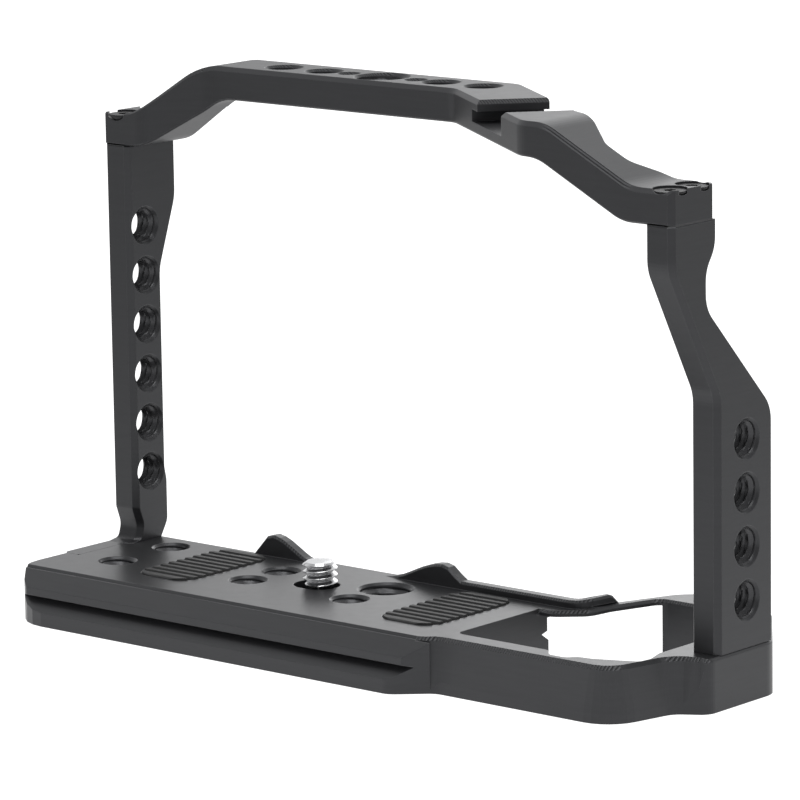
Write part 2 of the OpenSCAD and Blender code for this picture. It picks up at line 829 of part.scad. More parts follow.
bar_far = open_path([
    [bar_x0, left_top_far_y, 0],
    [crown_bend_x - step_run, left_top_far_y, 0],
    [crown_bend_x, crown_near_y + bar_w - step_r, 0],
    [crown_bend_x + step_r * corner_share, crown_near_y + bar_w - step_r * corner_share, 0],
    [crown_bend_x + step_r, crown_near_y + bar_w, 0],
    [diag_far_start_x, crown_near_y + bar_w, plan_bend_r],
    [diag_far_end_x, diag_far_end_y, scoop_r],
    [scoop_start_x, right_top_far_y, scoop_r],
    [scoop_x, right_top_far_y - scoop_depth, scoop_r],
    [scoop_x + scoop_w, right_top_far_y - scoop_depth, scoop_r],
    [scoop_end_x, right_top_far_y, scoop_r],
    [bar_x1, right_top_far_y, 0]]);

module accessory_slot() {
    reach = bar_w + plan_bend_r;
    floor_z = crown_top - slot_floor;
    translate([slot_x, slot_y, floor_z]) rotate([0, 0, slot_turn]) {
        translate([0, -reach, 0]) cube([slot_gap, 2 * reach, slot_floor + over]);
        translate([-slot_undercut, -reach, 0])
            cube([slot_undercut + over, 2 * reach, slot_floor - slot_lip_t]);
        for (x = [0, slot_gap])
            translate([x, 0, slot_floor]) rotate([0, 45, 0])
                cube([slot_edge * sqrt(2), 2 * reach, slot_edge * sqrt(2)], center = true);
    }
}

module top_bar() {
    xs = sorted(concat([for (p = bar_top) p[0]], [for (p = bar_low) p[0]],
        [for (p = bar_near) p[0]], [for (p = bar_far) p[0]]));
    e = bar_low_chamfer;
    rings = [for (x = xs)
        let (
            t = lookup(x, bar_top),
            l = lookup(x, bar_low),
            n = lookup(x, bar_near),
            f = lookup(x, bar_far),
            c = e + (bar_chamfer - e) * ease(2 * (x - rise_x0) / left_rise_run)
        )
        [[x, n + c, t], [x, n, t - c], [x, n, l + e], [x, n + e, l],
         [x, f - e, l], [x, f, l + e], [x, f, t - e], [x, f - e, t]]];
    color(black_anodised) difference() {
        loft(rings);
        accessory_slot();
        // The raised stretch is flat underneath where it is wider than the left slope
        translate([crown_bend_x - step_under, left_top_far_y, shoulder_h])
            cube([2 * step_under, bar_w, crown_rise]);
        for (y = [right_top_near_y, right_top_far_y])
            translate([bar_x1, y, shoulder_h + bar_t / 2]) rotate([0, 0, 45])
                cube([arm_chamfer * sqrt(2), arm_chamfer * sqrt(2), 2 * bar_t], center = true);
        translate([0, crown_near_y + bar_w / 2, crown_top]) {
            tapped_hole(three_eighths_d, bar_t);
            for (side = [-1, 1]) {
                translate([side * pin_offset, 0, 0]) tapped_hole(pin_hole_d, bar_t);
                translate([side * inner_offset, 0, 0]) tapped_hole(quarter_d, bar_t);
                translate([side * outer_offset, 0, 0]) tapped_hole(quarter_d, bar_t);
            }
        }
        for (i = [0, 1]) {
            at_left_top(i) frame_screw_room(bar_t + over);
            at_right_top(i) frame_screw_room(bar_t + over);
        }
    }
}

// A rubber pad set into the seat, with grooves along X
module anti_slip_pad(x) {
    room = pad_d - 2 * pad_margin;
    pitch = room / pad_groove_count;
    color(rubber_black) difference() {
        pad_block(x, 0, pad_proud - pad_t, pad_t);
        for (i = [0 : pad_groove_count - 1])
            translate([x - pad_w, pad_y - room / 2 + (i + 0.5) * pitch - groove_w / 2, pad_proud - groove_deep])
                cube([2 * pad_w, groove_w, groove_deep + over]);
    }
}

module camera_screw() {
    head_top = -web_t - washer_t;
    color(bright_steel) difference() {
        union() {
            cylinder(d = quarter_d, h = screw_stand - tip_chamfer);
            translate([0, 0, screw_stand - tip_chamfer])
                cylinder(d1 = quarter_d, d2 = quarter_d - 2 * tip_chamfer, h = tip_chamfer);
            translate([0, 0, head_top - head_edge]) cylinder(d = shank_d, h = web_t + washer_t + head_edge);
            translate([0, 0, head_top - head_t + head_edge]) cylinder(d = screw_head_d, h = head_t - head_edge);
            translate([0, 0, head_top - head_t])
                cylinder(d1 = screw_head_d - 2 * head_edge, d2 = screw_head_d, h = head_edge);
        }
        translate([-screw_head_d, -coin_slot_w / 2, head_top - head_t - over])
            cube([2 * screw_head_d, coin_slot_w, coin_slot_deep + over]);
        translate([0, 0, head_top - head_t - over]) cylinder(d = hex_key_d, h = hex_deep + over, $fn = 6);
    }
}

module camera_screw_washer() {
    color(bright_steel) translate([0, 0, -web_t - washer_t]) difference() {
        cylinder(d = screw_head_d, h = washer_t);
        translate([0, 0, -over]) cylinder(d = quarter_d + 2 * slot_clear + washer_clear, h = washer_t + 2 * over);
    }
}

module camera_screw_o_ring() {
    color(rubber_black) translate([0, 0, -ring_drop])
        rotate_extrude() translate([shank_d / 2 + ring_clear + ring_wire / 2, 0]) circle(d = ring_wire, $fn = 24);
}

base_plate();
left_arm();
right_arm();
top_bar();
anti_slip_pad(pad_left_x);  // anti_slip_pad_left
anti_slip_pad(pad_right_x);  // anti_slip_pad_right
camera_screw();
camera_screw_washer();
camera_screw_o_ring();
at_left_top(0) frame_screw(frame_screw_l);  // top_screw_left_near
at_left_top(1) frame_screw(frame_screw_l);  // top_screw_left_far
at_right_top(0) frame_screw(frame_screw_l);  // top_screw_right_near
at_right_top(1) frame_screw(frame_screw_l);  // top_screw_right_far
at_left_foot(0) frame_screw(foot_screw_l);  // foot_screw_left_near
at_left_foot(1) frame_screw(foot_screw_l);  // foot_screw_left_far
at_right_foot(0) frame_screw(frame_screw_l);  // foot_screw_right_near
at_right_foot(1) frame_screw(frame_screw_l);  // foot_screw_right_far
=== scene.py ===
"""A black anodised camera cage on a white table.

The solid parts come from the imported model. This script adds their finishes, the cut threads
of the tapped holes, the rolled thread of the camera screw and the ribbed rubber pads, and
sets up the table, the light and the camera. Lengths are in metres, and MM turns a size in
millimetres into metres.
"""
from collections import namedtuple
from math import cos, radians, sin

import bmesh
import bpy
import numpy as np
from mathutils import Matrix, Vector


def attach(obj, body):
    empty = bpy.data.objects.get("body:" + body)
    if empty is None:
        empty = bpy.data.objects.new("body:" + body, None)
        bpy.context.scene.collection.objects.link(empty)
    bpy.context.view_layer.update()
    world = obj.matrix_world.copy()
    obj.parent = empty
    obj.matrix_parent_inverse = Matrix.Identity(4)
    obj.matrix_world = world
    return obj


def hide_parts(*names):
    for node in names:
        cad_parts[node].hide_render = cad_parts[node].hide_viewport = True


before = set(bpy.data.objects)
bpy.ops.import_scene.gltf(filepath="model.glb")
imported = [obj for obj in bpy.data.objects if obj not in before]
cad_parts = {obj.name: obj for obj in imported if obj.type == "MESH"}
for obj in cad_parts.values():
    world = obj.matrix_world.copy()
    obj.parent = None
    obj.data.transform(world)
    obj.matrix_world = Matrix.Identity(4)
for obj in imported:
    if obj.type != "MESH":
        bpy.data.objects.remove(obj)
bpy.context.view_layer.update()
MM = 0.001

# Threads of the tapped holes, the depth of the chamfer at a hole's mouth, where the thread
# starts, and how far the thread's outer wall lies inside the metal
Thread = namedtuple("Thread", "radius pitch depth")
QUARTER = Thread(3.175 * MM, 1.27 * MM, 0.66 * MM)
THREE_EIGHTHS = Thread(4.75 * MM, 1.5875 * MM, 0.85 * MM)
MOUTH_CHAMFER = 0.45 * MM
SLEEVE_WALL = 0.03 * MM

# Sizes of the solids that the threads sit in
PLATE_THICKNESS = 9.5 * MM
ARM_THICKNESS = 5.4 * MM
BAR_THICKNESS = 6.0 * MM

# Tapped holes, where each meets the face that it starts from
UP, TOWARDS_RIGHT = (0, 0, 1), (1, 0, 0)
LEFT_ARM_FACE = -51 * MM
RIGHT_ARM_FACE = 89.4 * MM
BAR_TOP = 90 * MM
BAR_ROW_Y = 19.2 * MM
ARM_ROW_STEP = 9.3 * MM
PLATE_HOLES = [(x * MM, y * MM, 0) for x, y in
               [(-43.3, -7.2), (-43.3, 7.2), (-13.4, -4.5), (-13.4, 4.5), (11.3, -4.9)]]
PLATE_LARGE_HOLE = (11.3 * MM, 5 * MM, 0)
BAR_HOLES = [(x * MM, BAR_ROW_Y, BAR_TOP) for x in (-23.5, -13.8, 13.8, 23.5)]
BAR_LARGE_HOLE = (0, BAR_ROW_Y, BAR_TOP)
LEFT_ARM_HOLES = [(LEFT_ARM_FACE, 10.3667 * MM, 13 * MM + ARM_ROW_STEP * i) for i in range(6)]
RIGHT_ARM_HOLES = [(RIGHT_ARM_FACE, 8.1 * MM, 8.3 * MM + ARM_ROW_STEP * i) for i in range(4)]

# Camera screw: its thread is new, and below SHANK_CUT it is the solid's own shank and head
SCREW_TOP = 4.5 * MM
SCREW_CHAMFER = 0.55 * MM
SCREW_DEPTH = 0.78 * MM
SHANK_RADIUS = 2.45 * MM
SHANK_CUT = -2.0 * MM

# Rubber pads
PAD_LEFT_X = -27.7 * MM
PAD_RIGHT_X = 30.2 * MM
PAD_Y = -0.8 * MM
PAD_WIDTH = 12.7 * MM
PAD_LENGTH = 24.4 * MM
PAD_CORNER = 4 * MM
PAD_PROUD = 0.35 * MM
PAD_BOTTOM = -0.85 * MM
PAD_MARGIN = 1.3 * MM
RIM_DROP = 0.3 * MM
RIM_AT_ENDS = 0.4 * MM
RIM_AT_SIDES = 0.35 * MM
GROOVES = 10
GROOVE_DEPTH = 0.75 * MM
GROOVE_STEEPNESS = 5
GROOVE_THRESHOLD = 2.2

# Black anodised metal: its colours, and the thin lighter line along an edge, which is a painted
# highlight of the rounded edge with a little wear, from a slight to a full turn of the rounded
# edge away from its face, as cosines
SKIN_BLACK = (0.0185, 0.0187, 0.02)
PLATE_BLACK = (0.021, 0.0212, 0.0225)
# Painted light: the threads are a lighter black than the metal round them, to lift the shade
# inside the holes.
THREAD_BLACK_WITH_PAINTED_LIGHT = (0.035, 0.035, 0.037)
EDGE_WEAR_AND_HIGHLIGHT = (0.085, 0.086, 0.09, 1)
WEAR_AND_HIGHLIGHT_FROM, WEAR_AND_HIGHLIGHT_FULLY = 0.97, 0.82

# The dark seam below the ends of the bar
SEAM = 74.8 * MM
SEAM_REACH = 0.3 * MM
SEAM_DEPTH = 0.3 * MM

# The sloping wall of the plate: its faces' rise, the height that it stays under, where its
# ends turn (from their start to the corner), and the way that a fillet in the corner faces
WALL_RISE, WALL_RISE_REACH = 0.25, 0.24
WALL_TOP = -0.1 * MM
WALL_LEFT_END = (48 * MM, 42 * MM)
WALL_RIGHT_END = (86 * MM, 88 * MM)
CORNER_NORMAL = (0.66, -0.75, 0.0)

# Scallops that an end mill left on chamfers: the way that the chamfer faces, how near to it
# a face has to be as a cosine, the axis that they follow each other along, the length of two
# of them, and the x that they start from. Faces above ALL_SCALLOPED have them everywhere.
Scallops = namedtuple("Scallops", "facing likeness axis length start")
PLATE_SCALLOPS = Scallops((0, -0.7071, 0.7071), 0.74, 0, 1.1 * MM, 39 * MM)
BAR_SCALLOPS = Scallops((0.534, -0.464, 0.7071), 0.9, 1, 0.8 * MM, -100 * MM)
CHAMFER_RISE, CHAMFER_RISE_REACH = 0.7071, 0.06
LIKENESS_FADE = 0.05
LOWEST_SCALLOP = -MM
ALL_SCALLOPED = 0.5 * MM
SCALLOP_DEPTH = 0.15 * MM

# Directions along the picture, away from the viewer, and aside of it
ALONG = (-0.65, 0.76, 0.0)
ASIDE = (0.76, 0.65, 0.0)

# Light of the room, which grows between two cosines with the direction along the picture
ROOM_SIDES = 0.42
ROOM_FAR = 1.0
ROOM_GROWS = (-0.3, 0.9)

# Light of the table, with a brighter strip along the picture
TABLE_RADIUS = 4
TABLE_GLOW = 0.37
STRIP_GLOW = 0.46
STRIP_HALF_WIDTH = 0.22

# Lamps: name, place, width and power, all turned to one target
LAMPS = [("far_lamp", (-0.6, 1.4, 0.5), 1.0, 3.4),
         ("overhead_lamp", (0.2, -0.1, 1.15), 1.0, 7.5)]
LAMP_TARGET = (0.015, 0, 0.04)

# Camera of the photograph, with the lens and the sensor in millimetres
CAMERA_PLACE = (0.5932, -0.6693, 0.2059)
CAMERA_TURN, CAMERA_HEIGHT, CAMERA_ROLL = radians(40.6), radians(10.9), radians(-0.85)
LENS_LENGTH = 229.5
SENSOR_WIDTH = 36


def mesh_piece(name, points, faces, material, body):
    """A mesh object from rows of points and lists of corners, riding on a body of the frame."""
    mesh = bpy.data.meshes.new(name)
    mesh.from_pydata(points.reshape(-1, 3).tolist(), [], faces)
    mesh.materials.append(material)
    mesh.update()
    piece = bpy.data.objects.new(name, mesh)
    bpy.context.scene.collection.objects.link(piece)
    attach(piece, body)
    return piece


def finish_edges(piece, degrees):
    """Shades a piece smooth, and keeps the edges that turn by more than an angle sharp."""
    mesh = piece.data
    shape = bmesh.new()
    shape.from_mesh(mesh)
    for edge in shape.edges:
        edge.smooth = len(edge.link_faces) == 2 and edge.calc_face_angle() < radians(degrees)
    for face in shape.faces:
        face.smooth = True
    shape.to_mesh(mesh)
    shape.free()


def grid_faces(rows, columns, wrap_rows=False):
    """Corners of the quads between neighbouring rows and columns of a grid of points. Each
    row is a closed loop, and wrap_rows closes the last row on the first as well."""
    i = np.arange(rows if wrap_rows else rows - 1)[:, None]
    j = np.arange(columns)[None, :]
    i2 = (i + 1) % rows
    j2 = (j + 1) % columns
    quads = np.stack(np.broadcast_arrays(i * columns + j, i * columns + j2, i2 * columns + j2,
                                         i2 * columns + j), axis=-1)
    return quads.reshape(-1, 4)


def end_faces(rows, columns):
    """Corners of the two flat faces that close the first and the last row of a grid."""
    return list(range(columns)), list(range((rows - 1) * columns, rows * columns))


def thread_height(angle, z, pitch):
    """Height of a 60-degree thread, from 0 at its root to 1 at its crest.

    The phase (z / pitch - angle / turn) runs from 0 to 1 over one thread. The height is a
    triangle wave of the phase, stretched and cut off flat at the root and the crest.
    """
    phase = (z / pitch - angle / (2 * np.pi)) % 1.0
    return np.clip(1.25 * (1 - np.abs(2 * phase - 1)) - 0.125, 0, 1)


def cut_thread(thread, length, around=48, per_turn=9):
    """The inside of a tapped hole along Z, from z = 0 down, as points and quads.

    The inner wall is radius - depth * height(angle, z), and height fades to nothing over
    half a pitch at both mouths. The outer wall lies a hair inside the metal. The two walls
    join at the ends, so that the surface closes on itself both ways.
    """
    top, bottom = -MOUTH_CHAMFER, -length + MOUTH_CHAMFER
    steps = int((top - bottom) / thread.pitch * per_turn)
    angle = np.linspace(0, 2 * np.pi, around, endpoint=False)[None, :]
    z = np.linspace(top, bottom, steps)[:, None]
    fade = np.clip(np.minimum(top - z, z - bottom) / (0.5 * thread.pitch), 0, 1)
    inner = thread.radius - thread.depth * thread_height(angle, z, thread.pitch) * fade
    outer = np.full((2, around), thread.radius + SLEEVE_WALL)
    r = np.vstack([inner, outer])
    heights = np.vstack([np.broadcast_to(z, inner.shape),
                         np.broadcast_to([[bottom], [top]], outer.shape)])
    points = np.stack([r * np.cos(angle), r * np.sin(angle), heights], axis=-1)
    return points.reshape(-1, 3), grid_faces(steps + 2, around, wrap_rows=True)


def turned(points, place, axis):
    """Points given along Z, turned so that Z runs along axis, and moved to place."""
    turn = np.array(Vector((0, 0, 1)).rotation_difference(Vector(axis)).to_matrix())
    return points @ turn.T + np.array(place)


def threads(name, material, thickness, axis, quarter_holes, large_holes=()):
    """One piece with the cut threads of all the tapped holes of one solid."""
    points, faces, start = [], [], 0
    for thread, holes in ((QUARTER, quarter_holes), (THREE_EIGHTHS, large_holes)):
        for place in holes:
            wall, quads = cut_thread(thread, thickness)
            points.append(turned(wall, place, axis))
            faces.append(quads + start)
            start += len(wall)
    piece = mesh_piece(name, np.vstack(points), np.vstack(faces).tolist(), material,
                       "cage")
    finish_edges(piece, 35)


def rolled_thread(material):
    """The camera screw: the turned head of the solid, with a real thread over the plate.

    The thread is a surface of revolution whose radius is root + depth * height(angle, z).
    Its crest is kept under a cone of 45 degrees at the tip, and its root runs down to the
    slim shank, where the copied head takes over.
    """
    around, rows, crack = 72, 64, 1e-7
    angle = np.linspace(0, 2 * np.pi, around, endpoint=False)[None, :]
    z = np.linspace(0.0, SCREW_TOP, rows)[:, None]
    root = QUARTER.radius - SCREW_DEPTH
    fade = np.clip(z / (0.4 * QUARTER.pitch), 0, 1)
    wall = root + SCREW_DEPTH * thread_height(angle, z, QUARTER.pitch) * fade
    wall = np.minimum(wall, QUARTER.radius - SCREW_CHAMFER - z + SCREW_TOP)
    foot = np.full((1, around), SHANK_RADIUS * 0.98)
    radii = np.vstack([foot, wall])
    heights = np.vstack([np.full((1, around), SHANK_CUT - MM), np.broadcast_to(z, wall.shape)])
    points = np.stack([radii * np.cos(angle), radii * np.sin(angle), heights], axis=-1)
    low_end, top_end = end_faces(rows + 1, around)
    faces = grid_faces(rows + 1, around).tolist() + [low_end[::-1], top_end]
    screw = mesh_piece("rolled_camera_screw", points, faces, material, "screw")
    head = bmesh.new()
    head.from_mesh(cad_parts["camera_screw"].data)
    bmesh.ops.remove_doubles(head, verts=head.verts, dist=crack)
    everything = head.verts[:] + head.edges[:] + head.faces[:]
    cut = bmesh.ops.bisect_plane(head, geom=everything, plane_co=(0, 0, SHANK_CUT),
                                 plane_no=(0, 0, 1), clear_outer=True)
    rim = [e for e in cut["geom_cut"] if isinstance(e, bmesh.types.BMEdge)]
    bmesh.ops.holes_fill(head, edges=rim)
    head.from_mesh(screw.data)
    head.to_mesh(screw.data)
    head.free()
    finish_edges(screw, 40)
    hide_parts("camera_screw")


def ribbed_pad(name, node, centre_x, material):
    """A rubber pad with soft grooves along X.

    Each row across the pad is a closed loop: half its width follows the outline with round
    corners, its top follows proud - depth * groove(y), and its rims are rounded by a
    square. The groove is a cosine wave of y, stretched, lowered and cut off at 0 and 1, which
    gives flat ribs, steep walls and flat bottoms. The rows are lofted along Y and closed by
    a flat face at each end.
    """
    rows, across = 281, 25
    y = np.linspace(-PAD_LENGTH / 2, PAD_LENGTH / 2, rows)[:, None]
    past = np.clip(np.abs(y) - (PAD_LENGTH / 2 - PAD_CORNER), 0, PAD_CORNER)
    half = PAD_WIDTH / 2 - PAD_CORNER + np.sqrt(PAD_CORNER ** 2 - past ** 2)
    side = np.linspace(-1, 1, across)[None, :]
    room = PAD_LENGTH - 2 * PAD_MARGIN
    phase = (y + room / 2) / room * GROOVES
    wave = np.where((phase > 0) & (phase < GROOVES), 0.5 - 0.5 * np.cos(2 * np.pi * phase), 0)
    groove = np.clip(wave * GROOVE_STEEPNESS - GROOVE_THRESHOLD, 0, 1)
    near_end = np.clip(1 - (PAD_LENGTH / 2 - np.abs(y)) / RIM_AT_ENDS, 0, 1) ** 2
    near_side = np.clip(1 - (1 - np.abs(side)) * half / RIM_AT_SIDES, 0, 1) ** 2
    drop = np.maximum(GROOVE_DEPTH * groove, RIM_DROP * np.maximum(near_end, near_side))
    across_x = half * np.sign(side) * (1 - (1 - np.abs(side)) ** 1.5)
    along_y = np.broadcast_to(y, drop.shape)
    top = np.stack([across_x, along_y, PAD_PROUD - drop], axis=-1)
    low = np.stack([across_x[:, ::-1], along_y, np.full(drop.shape, PAD_BOTTOM)], axis=-1)
    loops = np.concatenate([top, low], axis=1) + np.array([centre_x, PAD_Y, 0])
    columns = 2 * across
    near_cap, far_cap = end_faces(rows, columns)
    faces = grid_faces(rows, columns)[:, ::-1].tolist() + [near_cap, far_cap[::-1]]
    pad = mesh_piece(name, loops, faces, material, "cage")
    finish_edges(pad, 50)
    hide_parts(node)


class Wiring:
    """A node tree being wired up, with short calls for the nodes that it uses. A value is
    either another node's output or a plain number, colour or vector."""

    def __init__(self, tree):
        self.tree = tree

    def feed(self, socket, value):
        """Links a value to a socket if it is an output, or sets the socket to it."""
        if isinstance(value, bpy.types.NodeSocket):
            self.tree.links.new(value, socket)
        else:
            socket.default_value = value

    def node(self, kind, inputs=None, **settings):
        """A new node with its settings, and with values for some of its inputs."""
        made = self.tree.nodes.new("ShaderNode" + kind)
        for key, value in settings.items():
            setattr(made, key, value)
        for key, value in (inputs or {}).items():
            self.feed(made.inputs[key], value)
        return made

    def math(self, operation, a, b=0.0):
        """An operation on one or two numbers."""
        return self.node("Math", {0: a, 1: b}, operation=operation).outputs[0]

    def near(self, value, middle, reach):
        """1 where a value is within reach of the middle, and 0 elsewhere."""
        return self.node("Math", {0: value, 1: middle, 2: reach}, operation="COMPARE").outputs[0]

    def vector(self, operation, a, b=(0, 0, 0)):
        """An operation on one or two vectors that gives a vector."""
        return self.node("VectorMath", {0: a, 1: b}, operation=operation).outputs["Vector"]

    def scaled(self, vector, scale):
        """A vector times a number."""
        return self.node("VectorMath", {0: vector, "Scale": scale},
                         operation="SCALE").outputs["Vector"]

    def likeness(self, a, b):
        """The cosine between two directions, or how far a place lies along a direction."""
        return self.node("VectorMath", {0: a, 1: b}, operation="DOT_PRODUCT").outputs["Value"]

    def ramp(self, value, start, end, low=0.0, high=1.0, smooth=False):
        """A value from start to end as one from low to high, held at both ends."""
        limits = {"Value": value, "From Min": start, "From Max": end,
                  "To Min": low, "To Max": high}
        kind = "SMOOTHSTEP" if smooth else "LINEAR"
        return self.node("MapRange", limits, interpolation_type=kind).outputs[0]

    def between(self, value, low, high):
        """A value from 0 to 1 as one from low to high."""
        return self.ramp(value, 0.0, 1.0, low, high)

    def mix(self, factor, a, b):
        """Colour a where the factor is 0, and colour b where it is 1."""
        made = self.node("Mix", {"Factor": factor}, data_type="RGBA")
        for name, value in (("A", a), ("B", b)):
            self.feed([s for s in made.inputs if s.name == name and s.type == "RGBA"][0], value)
        return [s for s in made.outputs if s.type == "RGBA"][0]


class Finish(Wiring):
    """A material of nodes round one shader, with patterns on object coordinates."""

    def __init__(self, name):
        self.material = bpy.data.materials.new(name)
        self.material.use_nodes = True
        super().__init__(self.material.node_tree)
        self.shader = self.tree.nodes["Principled BSDF"]
        self.place = self.node("TexCoord").outputs["Object"]

    def set(self, **values):
        """Plain values for the shader's own sockets."""
        for key, value in values.items():
            self.shader.inputs[key.replace("_", " ")].default_value = value

    def link(self, value, socket):
        """A node's output for one of the shader's own sockets."""
        self.tree.links.new(value, self.shader.inputs[socket])

    def stretched(self, scale):
        """Object coordinates in millimetres, stretched by a scale along each axis."""
        return self.node("Mapping", {"Vector": self.place,
                                     "Scale": [s / MM for s in scale]}).outputs[0]

    def noise(self, scale, detail=2.0, stretch=(1, 1, 1)):
        """Soft random values from 0 to 1, at a scale per millimetre."""
        return self.node("TexNoise", {"Vector": self.stretched(stretch), "Scale": scale,
                                      "Detail": detail}).outputs["Fac"]

    def bump(self, height, strength, distance, normal=None):
        """The normal of a surface raised by a height from 0 to 1 times a distance."""
        inputs = {"Height": height, "Strength": strength, "Distance": distance}
        if normal is not None:
            inputs["Normal"] = normal
        return self.node("Bump", inputs).outputs[0]


def upright_wall(finish, place, rise, normal):
    """The normal of the plate's sloping wall as if it stood upright, so that it catches the
    same light as the walls beside it. Its two ends turn towards the corner beside them, as a
    fillet does: normal = (1 - turn) * flat normal + turn * corner normal."""
    low = finish.math("LESS_THAN", place[2], WALL_TOP)
    wall = finish.math("MULTIPLY", low, finish.near(rise, WALL_RISE, WALL_RISE_REACH))
    squash = finish.node("CombineXYZ", {"X": 1.0, "Y": 1.0,
                                        "Z": finish.math("SUBTRACT", 1.0, wall)}).outputs[0]
    flat = finish.vector("MULTIPLY", normal, squash)
    left = finish.ramp(place[0], *WALL_LEFT_END, smooth=True)
    right = finish.ramp(place[0], *WALL_RIGHT_END, smooth=True)
    turn = finish.math("MULTIPLY", wall, finish.math("MAXIMUM", left, right))
    fillet = finish.scaled(CORNER_NORMAL, turn)
    straight = finish.scaled(flat, finish.math("SUBTRACT", 1.0, turn))
    return finish.vector("NORMALIZE", finish.vector("ADD", fillet, straight))


def scalloped(finish, place, rise, facing, scallops):
    """Height of the scallops on chamfers that face half up: |sine of the place| ** 0.6, on
    the faces that the scallops belong to, and 0 elsewhere."""
    likeness = finish.likeness(facing, scallops.facing)
    mask = finish.ramp(likeness, scallops.likeness, scallops.likeness + LIKENESS_FADE)
    half_up = finish.near(rise, CHAMFER_RISE, CHAMFER_RISE_REACH)
    mask = finish.math("MULTIPLY", mask, finish.math(
        "MULTIPLY", half_up, finish.math("GREATER_THAN", place[2], LOWEST_SCALLOP)))
    area = finish.math("MAXIMUM", finish.math("GREATER_THAN", place[0], scallops.start),
                       finish.math("GREATER_THAN", place[2], ALL_SCALLOPED))
    turns = finish.math("MULTIPLY", place[scallops.axis], 2 * np.pi / scallops.length)
    height = finish.math("POWER", finish.math("ABSOLUTE", finish.math("SINE", turns)), 0.6)
    return finish.math("MULTIPLY", height, finish.math("MULTIPLY", mask, area))


def anodised(name, colour, edge_round, roughness=0.32, scallops=None, upright=False):
    """Black anodised aluminium: a satin skin over fine milling lines and a blasted grain.

    Its edges are softly broken and carry a lighter line, a painted highlight with a little
    wear, and the seam below the bar's ends is deepened. upright is for the plate with its
    sloping wall.
    """
    finish = Finish(name)
    grain = finish.noise(9.0, 3.0)
    lines = finish.noise(3.0, 2.0, (0.15, 0.15, 3.0))
    streaks = finish.noise(1.0, 2.0, (0.12, 0.12, 1.6))
    cloud = finish.noise(0.08, 2.0)
    shade = finish.math("ADD", finish.math("MULTIPLY", grain, 0.4),
                        finish.math("MULTIPLY", cloud, 0.2))
    shade = finish.math("ADD", shade, finish.math("MULTIPLY", streaks, 0.4))
    dark = tuple(c * 0.55 for c in colour) + (1,)
    light = tuple(c * 1.5 for c in colour) + (1,)

    normal = finish.node("Bevel", {"Radius": edge_round}, samples=6).outputs[0]
    place = finish.node("SeparateXYZ", {0: finish.place}).outputs
    facing = finish.node("NewGeometry").outputs["True Normal"]
    rise = finish.node("SeparateXYZ", {0: facing}).outputs[2]
    # The rounded edges get a lighter colour: a painted highlight, with a little wear.
    edge_wear_and_highlight = finish.ramp(finish.likeness(normal, facing), WEAR_AND_HIGHLIGHT_FROM, WEAR_AND_HIGHLIGHT_FULLY)
    finish.link(finish.mix(edge_wear_and_highlight, finish.mix(shade, dark, light), EDGE_WEAR_AND_HIGHLIGHT), "Base Color")
    satin = finish.math("ADD", grain, finish.math("MULTIPLY", lines, 0.5))
    finish.link(finish.between(satin, roughness - 0.05, roughness + 0.05), "Roughness")
    finish.set(Metallic=0.0, IOR=1.5, Specular_Tint=(0.95, 0.96, 1.0, 1))

    if upright:
        normal = upright_wall(finish, place, rise, normal)
    height = finish.math("ADD", grain, finish.math("MULTIPLY", lines, 0.25))
    normal = finish.bump(height, 0.08, 0.015 * MM, normal)
    from_seam = finish.math("ABSOLUTE", finish.math("SUBTRACT", place[2], SEAM))
    gap = finish.ramp(from_seam, 0.0, SEAM_REACH, smooth=True)
    normal = finish.bump(gap, 1.0, SEAM_DEPTH, normal)
    if scallops:
        height = scalloped(finish, place, rise, facing, scallops)
        normal = finish.bump(height, 1.0, SCALLOP_DEPTH, normal)
    finish.link(normal, "Normal")
    return finish.material


def rubber(name):
    """Moulded black rubber with a faint dusty bloom."""
    finish = Finish(name)
    speck = finish.noise(14.0, 3.0)
    bloom = finish.noise(0.6, 2.0)
    finish.link(finish.mix(finish.math("MULTIPLY", speck, bloom), (0.008, 0.008, 0.008, 1),
                           (0.06, 0.06, 0.061, 1)), "Base Color")
    finish.link(finish.between(speck, 0.45, 0.7), "Roughness")
    finish.set(Metallic=0.0, IOR=1.5)
    finish.link(finish.bump(speck, 0.25, 0.03 * MM), "Normal")
    return finish.material


def turned_steel(name, colour, roughness):
    """Turned steel with fine rings about the Z axis."""
    finish = Finish(name)
    rings = finish.node("TexWave", {"Vector": finish.stretched((1, 1, 1)), "Scale": 3.0,
                                    "Distortion": 0.6, "Detail": 2.0},
                        wave_type="RINGS", rings_direction="Z").outputs["Fac"]
    smear = finish.noise(4.0, 2.0)
    base = tuple(colour) + (1,)
    shadow = tuple(c * 0.8 for c in colour) + (1,)
    finish.link(finish.mix(smear, shadow, base), "Base Color")
    finish.set(Metallic=1.0)
    finish.link(finish.between(smear, roughness - 0.04, roughness + 0.06), "Roughness")
    finish.link(finish.bump(rings, 0.06, 0.02 * MM), "Normal")
    return finish.material


def oxide_steel(name):
    """Black oxide on a small machine screw, with a dull shine."""
    finish = Finish(name)
    patch = finish.noise(3.0, 3.0)
    finish.link(finish.mix(patch, (0.008, 0.008, 0.009, 1), (0.02, 0.02, 0.022, 1)),
                "Base Color")
    finish.link(finish.between(patch, 0.45, 0.6), "Roughness")
    finish.set(Metallic=0.0, IOR=1.4)
    finish.link(finish.bump(patch, 0.1, 0.02 * MM), "Normal")
    return finish.material


def dress(node, material):
    """Puts one finish on a solid of the frame."""
    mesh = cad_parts[node].data
    mesh.materials.clear()
    mesh.materials.append(material)


